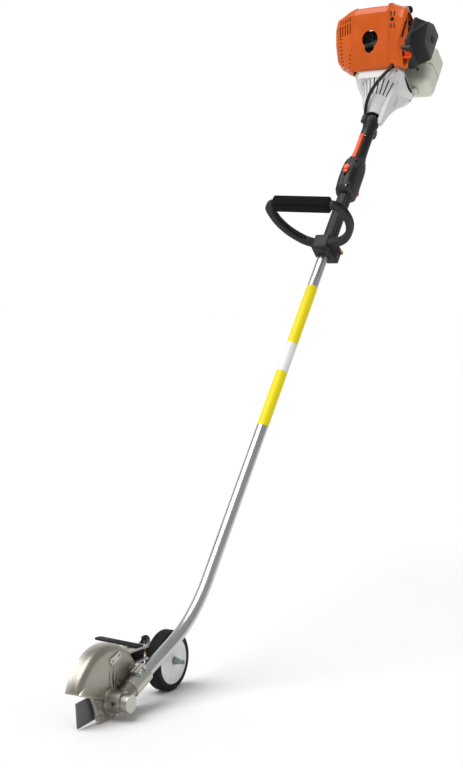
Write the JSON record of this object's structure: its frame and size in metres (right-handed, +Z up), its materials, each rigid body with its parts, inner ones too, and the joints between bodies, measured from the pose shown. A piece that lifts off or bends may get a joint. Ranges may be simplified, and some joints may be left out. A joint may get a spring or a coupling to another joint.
{
  "type": "lawn edger",
  "caption": "Hand-held petrol lawn edger: bent drive tube, enclosed engine, loop handle, throttle grip, cast half guard with vertical steel blade, depth wheel.",
  "frame": {"origin": "on the drive tube's axis, on the bare stretch just below the loop handle, where a stand or hand holds it", "axes": "+X towards the gearbox side (operator's left), +Y rearwards to the operator and engine, +Z up with the wheel and blade corner on the ground"},
  "size_m": [0.2536, 1.4769, 1.5284],
  "materials": {
    "black_plastic": "textured",
    "blade_steel": "dark lacquered",
    "cast_aluminium": "cast, satin",
    "ceramic": "glazed",
    "dark_steel": "dark",
    "engine_aluminium": "die cast",
    "foam": "foam",
    "foam_filter": "filter felt",
    "fuel_hose": "smooth",
    "hose_black": "smooth",
    "liner_plastic": "plain",
    "orange_control": "semi-gloss",
    "orange_cover": "semi-gloss",
    "red_bulb": "clear",
    "rope_fibre": "braided",
    "rubber": "matte",
    "steel": "ground",
    "tank_plastic": "translucent",
    "tube_aluminium": "satin extruded",
    "tyre_rubber": "ribbed",
    "white_disc": "gloss",
    "white_housing": "satin",
    "yellow_label": "printed film",
    "yellow_zinc": "yellow passivated",
    "zinc": "blue zinc"
  },
  "bodies": {
    "frame": {"drive_tube": "tube_aluminium", "tube_liner": "liner_plastic", "drive_cable": "steel", "tube_label": "yellow_label", "spacer_sleeve": "black_plastic", "grip_shell_left": "black_plastic", "grip_shell_right": "black_plastic", "grip_fasteners": "yellow_zinc", "fan_housing": "white_housing", "neck_bush": "rubber", "ball_bearings": "steel", "tank_strut": "white_housing", "crankcase": "engine_aluminium", "cylinder": "engine_aluminium", "spark_plug": "ceramic", "ignition_coil": "black_plastic", "muffler": "dark_steel", "engine_cover": "orange_cover", "muffler_cover": "orange_cover", "intake_cowl": "orange_cover", "carburettor": "engine_aluminium", "filter_base": "black_plastic", "filter_cover": "black_plastic", "filter_element": "foam_filter", "fuel_tank": "tank_plastic", "fuel_line": "fuel_hose", "starter_housing": "black_plastic", "throttle_hose": "hose_black", "gearbox_housing": "cast_aluminium", "gearbox_cap": "cast_aluminium", "grease_plug": "dark_steel", "frame_screws": "zinc", "blade_guard": "cast_aluminium", "debris_flap": "dark_steel", "bracket_bolt": "yellow_zinc"},
    "loop_handle": {"loop_frame": "black_plastic", "loop_pad": "foam", "handle_screw": "yellow_zinc"},
    "trigger": {"throttle_trigger": "orange_control"},
    "lever": {"lockout_lever": "orange_control"},
    "switch": {"stop_switch": "orange_control"},
    "crank": {"crankshaft": "steel", "flywheel": "engine_aluminium", "clutch_shoes": "dark_steel"},
    "drum": {"clutch_drum": "dark_steel"},
    "pinion": {"pinion_gear": "steel"},
    "blade": {"blade": "blade_steel", "output_shaft": "steel", "blade_clamp": "zinc"},
    "wheel_carrier": {"wheel_bracket": "zinc", "wheel_axle": "zinc"},
    "wheel": {"wheel_disc": "white_disc", "tyre": "tyre_rubber"},
    "starter_handle": {"starter_grip": "rubber", "starter_rope": "rope_fibre"},
    "pulley": {"starter_pulley": "black_plastic"},
    "choke": {"choke_knob": "orange_control"},
    "primer": {"primer_bulb": "red_bulb"},
    "cover_knob": {"cover_screw": "black_plastic"},
    "cap": {"fuel_cap": "black_plastic"}
  },
  "joints": [
    {"name": "handle_slide", "type": "slide", "parent": "frame", "child": "loop_handle", "axis": [0, 0.6157, 0.788], "range_m": [-0.085, 0]},
    {"name": "trigger_squeeze", "type": "hinge", "parent": "frame", "child": "trigger", "pos_m": [0, 0.21171, 0.23687], "axis": [-1, 0, 0], "range_deg": [0, 14], "stiffness_Nm_per_rad": 0.3, "springref_deg": -17.19},
    {"name": "lever_press", "type": "hinge", "parent": "frame", "child": "lever", "pos_m": [0, 0.239, 0.33611], "axis": [1, 0, 0], "range_deg": [0, 2.7], "stiffness_Nm_per_rad": 0.4, "springref_deg": -11.46},
    {"name": "stop_slide", "type": "slide", "parent": "frame", "child": "switch", "axis": [0, 0.6157, 0.788], "range_m": [-0.008, 0]},
    {"name": "crank_spin", "type": "hinge", "parent": "frame", "child": "crank", "pos_m": [0, 0.40018, 0.51221], "axis": [0, 0.6157, 0.788], "continuous": true},
    {"name": "blade_spin", "type": "hinge", "parent": "frame", "child": "blade", "pos_m": [0, -0.81829, -0.81596], "axis": [1, 0, 0], "continuous": true},
    {"name": "pinion_spin", "type": "hinge", "parent": "frame", "child": "pinion", "pos_m": [0, -0.81829, -0.81596], "axis": [0, 0.9291, 0.3697], "continuous": true},
    {"name": "drum_spin", "type": "hinge", "parent": "frame", "child": "drum", "pos_m": [0, 0.34477, 0.44129], "axis": [0, 0.6157, 0.788], "continuous": true},
    {"name": "wheel_height", "type": "slide", "parent": "frame", "child": "wheel_carrier", "axis": [0, 0, 1], "range_m": [-0.014, 0.025]},
    {"name": "wheel_spin", "type": "hinge", "parent": "wheel_carrier", "child": "wheel", "pos_m": [0, -0.5967, -0.79], "axis": [1, 0, 0], "continuous": true},
    {"name": "starter_pull", "type": "slide", "parent": "frame", "child": "starter_handle", "axis": [0, -0.788, 0.6157], "range_m": [0, 0.6], "stiffness_N_per_m": 10, "springref_m": -1, "deforming": ["starter_rope"]},
    {"name": "pulley_spin", "type": "hinge", "parent": "frame", "child": "pulley", "pos_m": [0, 0.47652, 0.60992], "axis": [0, 0.6157, 0.788], "range_deg": [-1020, 0]},
    {"name": "choke_turn", "type": "hinge", "parent": "frame", "child": "choke", "pos_m": [0.081, 0.3299, 0.5392], "axis": [0, -0.6157, -0.788], "range_deg": [0, 80]},
    {"name": "primer_press", "type": "slide", "parent": "frame", "child": "primer", "axis": [0, 0.788, -0.6157], "range_m": [0, 0.003], "stiffness_N_per_m": 400, "springref_m": -0.002},
    {"name": "cover_screw_turn", "type": "hinge", "parent": "frame", "child": "cover_knob", "pos_m": [0.11, 0.39279, 0.58397], "axis": [1, 0, 0], "range_deg": [0, 90]},
    {"name": "fuel_cap_turn", "type": "hinge", "parent": "frame", "child": "cap", "pos_m": [-0.05, 0.45234, 0.45877], "axis": [0, -0.6157, -0.788], "continuous": true}
  ],
  "couplings": [
    {"joint": "pinion_spin", "follows": "blade_spin", "ratio": 1.3333},
    {"joint": "drum_spin", "follows": "blade_spin", "ratio": 1.3333},
    {"joint": "pulley_spin", "follows": "starter_pull", "rad_per_m": -29.412}
  ]
}
